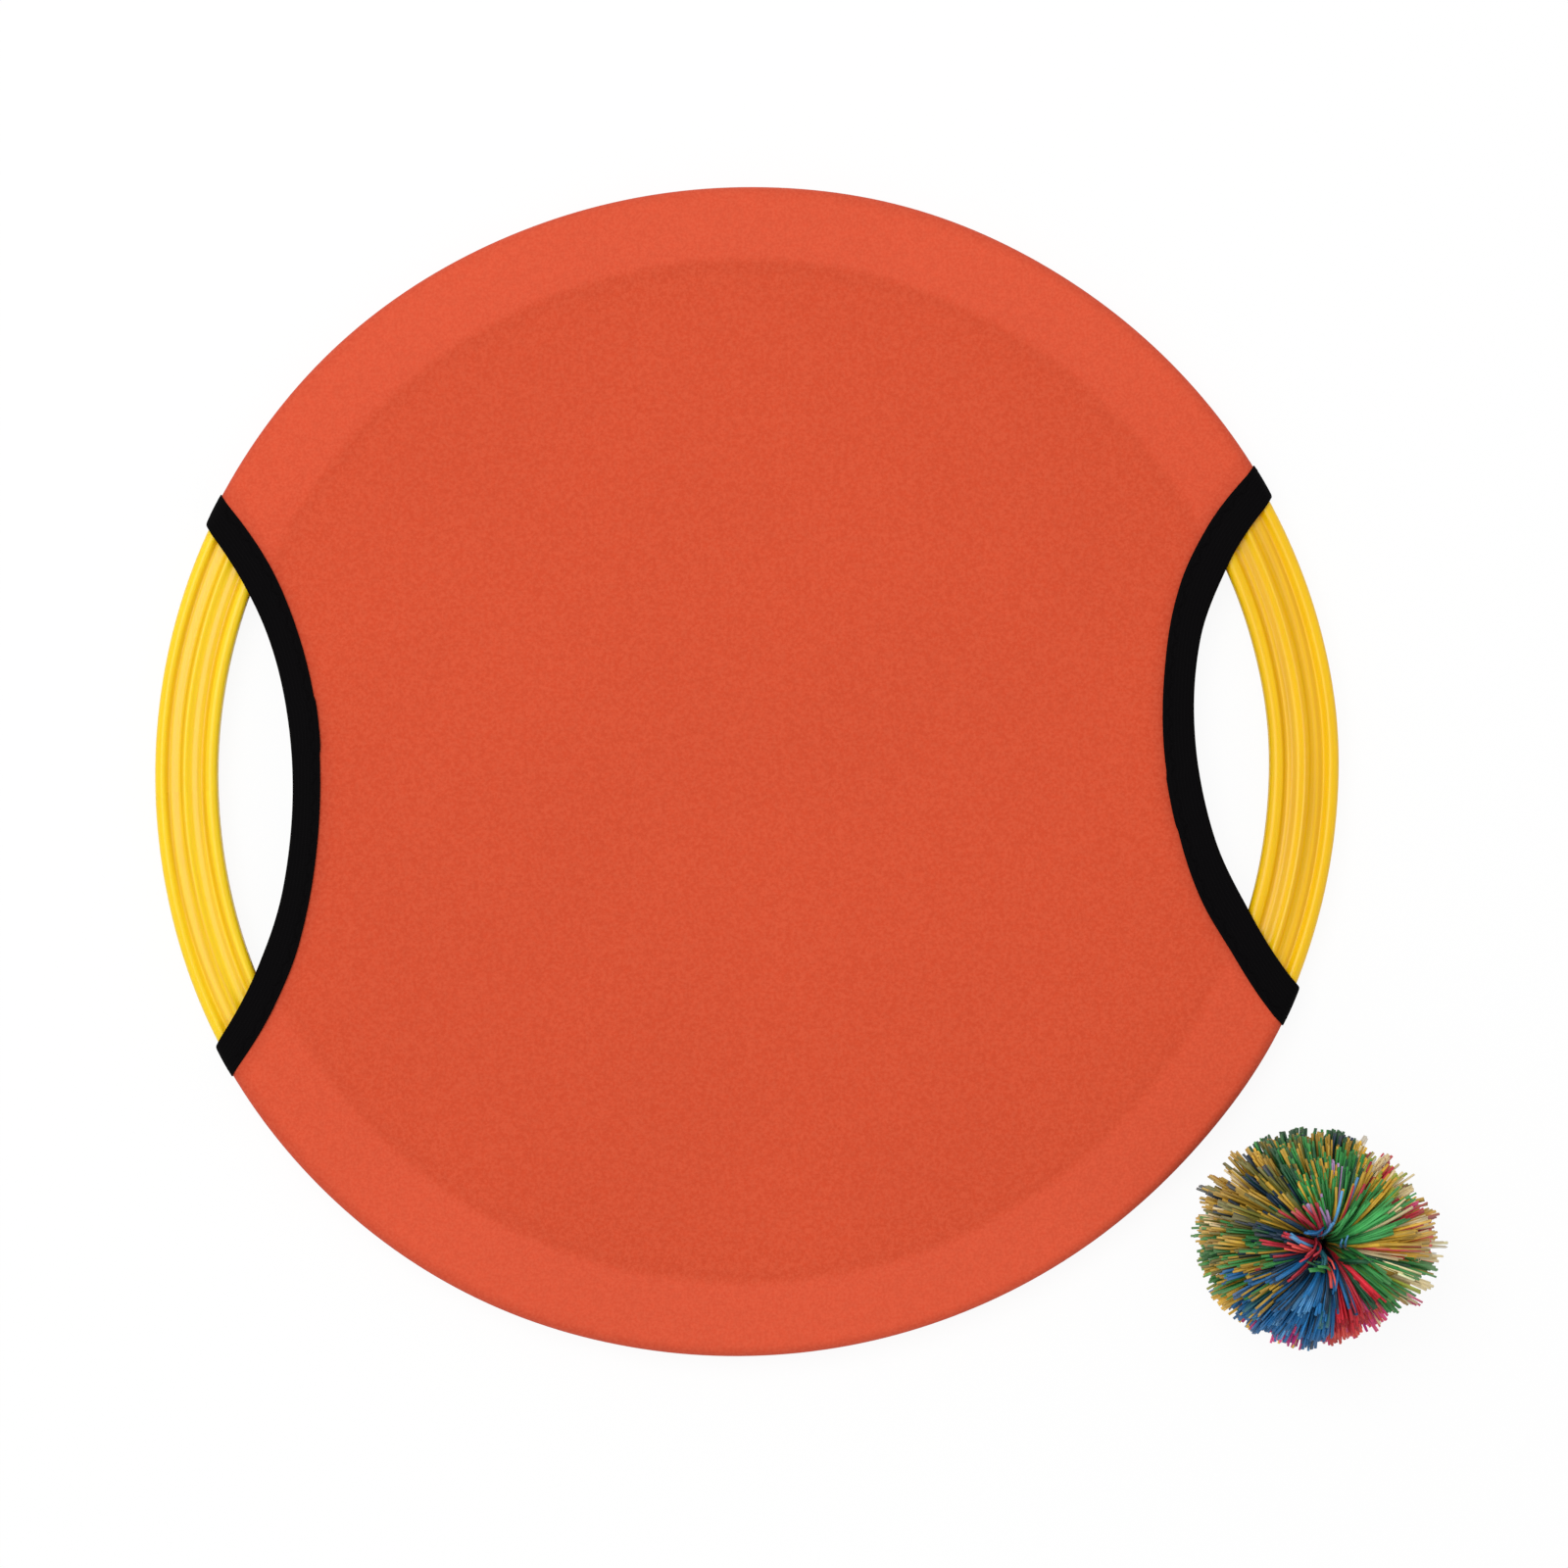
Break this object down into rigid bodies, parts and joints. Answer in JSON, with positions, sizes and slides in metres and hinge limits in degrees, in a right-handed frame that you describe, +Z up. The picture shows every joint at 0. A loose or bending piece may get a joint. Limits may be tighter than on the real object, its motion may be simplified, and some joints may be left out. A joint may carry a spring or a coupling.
{
  "type": "trampoline paddle ball set",
  "caption": "Round catch-and-throw paddle with a stretch cover on a moulded ring, hand openings bound in elastic tape at both sides, and a soft rubber strand ball.",
  "frame": {"origin": "middle of the back panel's flat underside, on the paddle's own axis", "axes": "+X through the two hand openings towards the ball's side, +Y to the far side of the paddle, +Z up out of the front panel"},
  "size_m": [0.3188, 0.2979, 0.0491],
  "materials": {
    "yellow_plastic": "satin",
    "orange_knit": "fine stretch knit",
    "black_elastic": "ribbed elastic tape",
    "tie_band": "matte",
    "rubber_yellow": "satin",
    "rubber_bright_green": "satin",
    "rubber_dark_green": "satin",
    "rubber_olive": "satin",
    "rubber_moss_green": "satin",
    "rubber_gold": "satin",
    "rubber_blue": "satin",
    "rubber_red": "satin",
    "rubber_pink": "satin",
    "rubber_leaf_green": "satin"
  },
  "bodies": {
    "root": {"ring_frame": "yellow_plastic", "front_panel": "orange_knit", "front_panel_left": "orange_knit", "front_panel_right": "orange_knit", "front_panel_inner_far": "orange_knit", "front_panel_far": "orange_knit", "front_panel_inner_near": "orange_knit", "front_panel_near": "orange_knit", "back_panel": "orange_knit", "back_panel_left": "orange_knit", "back_panel_right": "orange_knit", "back_panel_inner_far": "orange_knit", "back_panel_far": "orange_knit", "back_panel_inner_near": "orange_knit", "back_panel_near": "orange_knit", "front_edge_far": "orange_knit", "front_edge_near": "orange_knit", "back_edge_far": "orange_knit", "back_edge_near": "orange_knit", "left_binding": "black_elastic", "right_binding": "black_elastic", "ball_tie": "tie_band", "strands_yellow": "rubber_yellow", "strands_bright_green": "rubber_bright_green", "strands_dark_green": "rubber_dark_green", "strands_olive": "rubber_olive", "strands_moss_green": "rubber_moss_green", "strands_gold": "rubber_gold", "strands_blue": "rubber_blue", "strands_red": "rubber_red", "strands_pink": "rubber_pink", "strands_leaf_green": "rubber_leaf_green"}
  },
  "joints": []
}
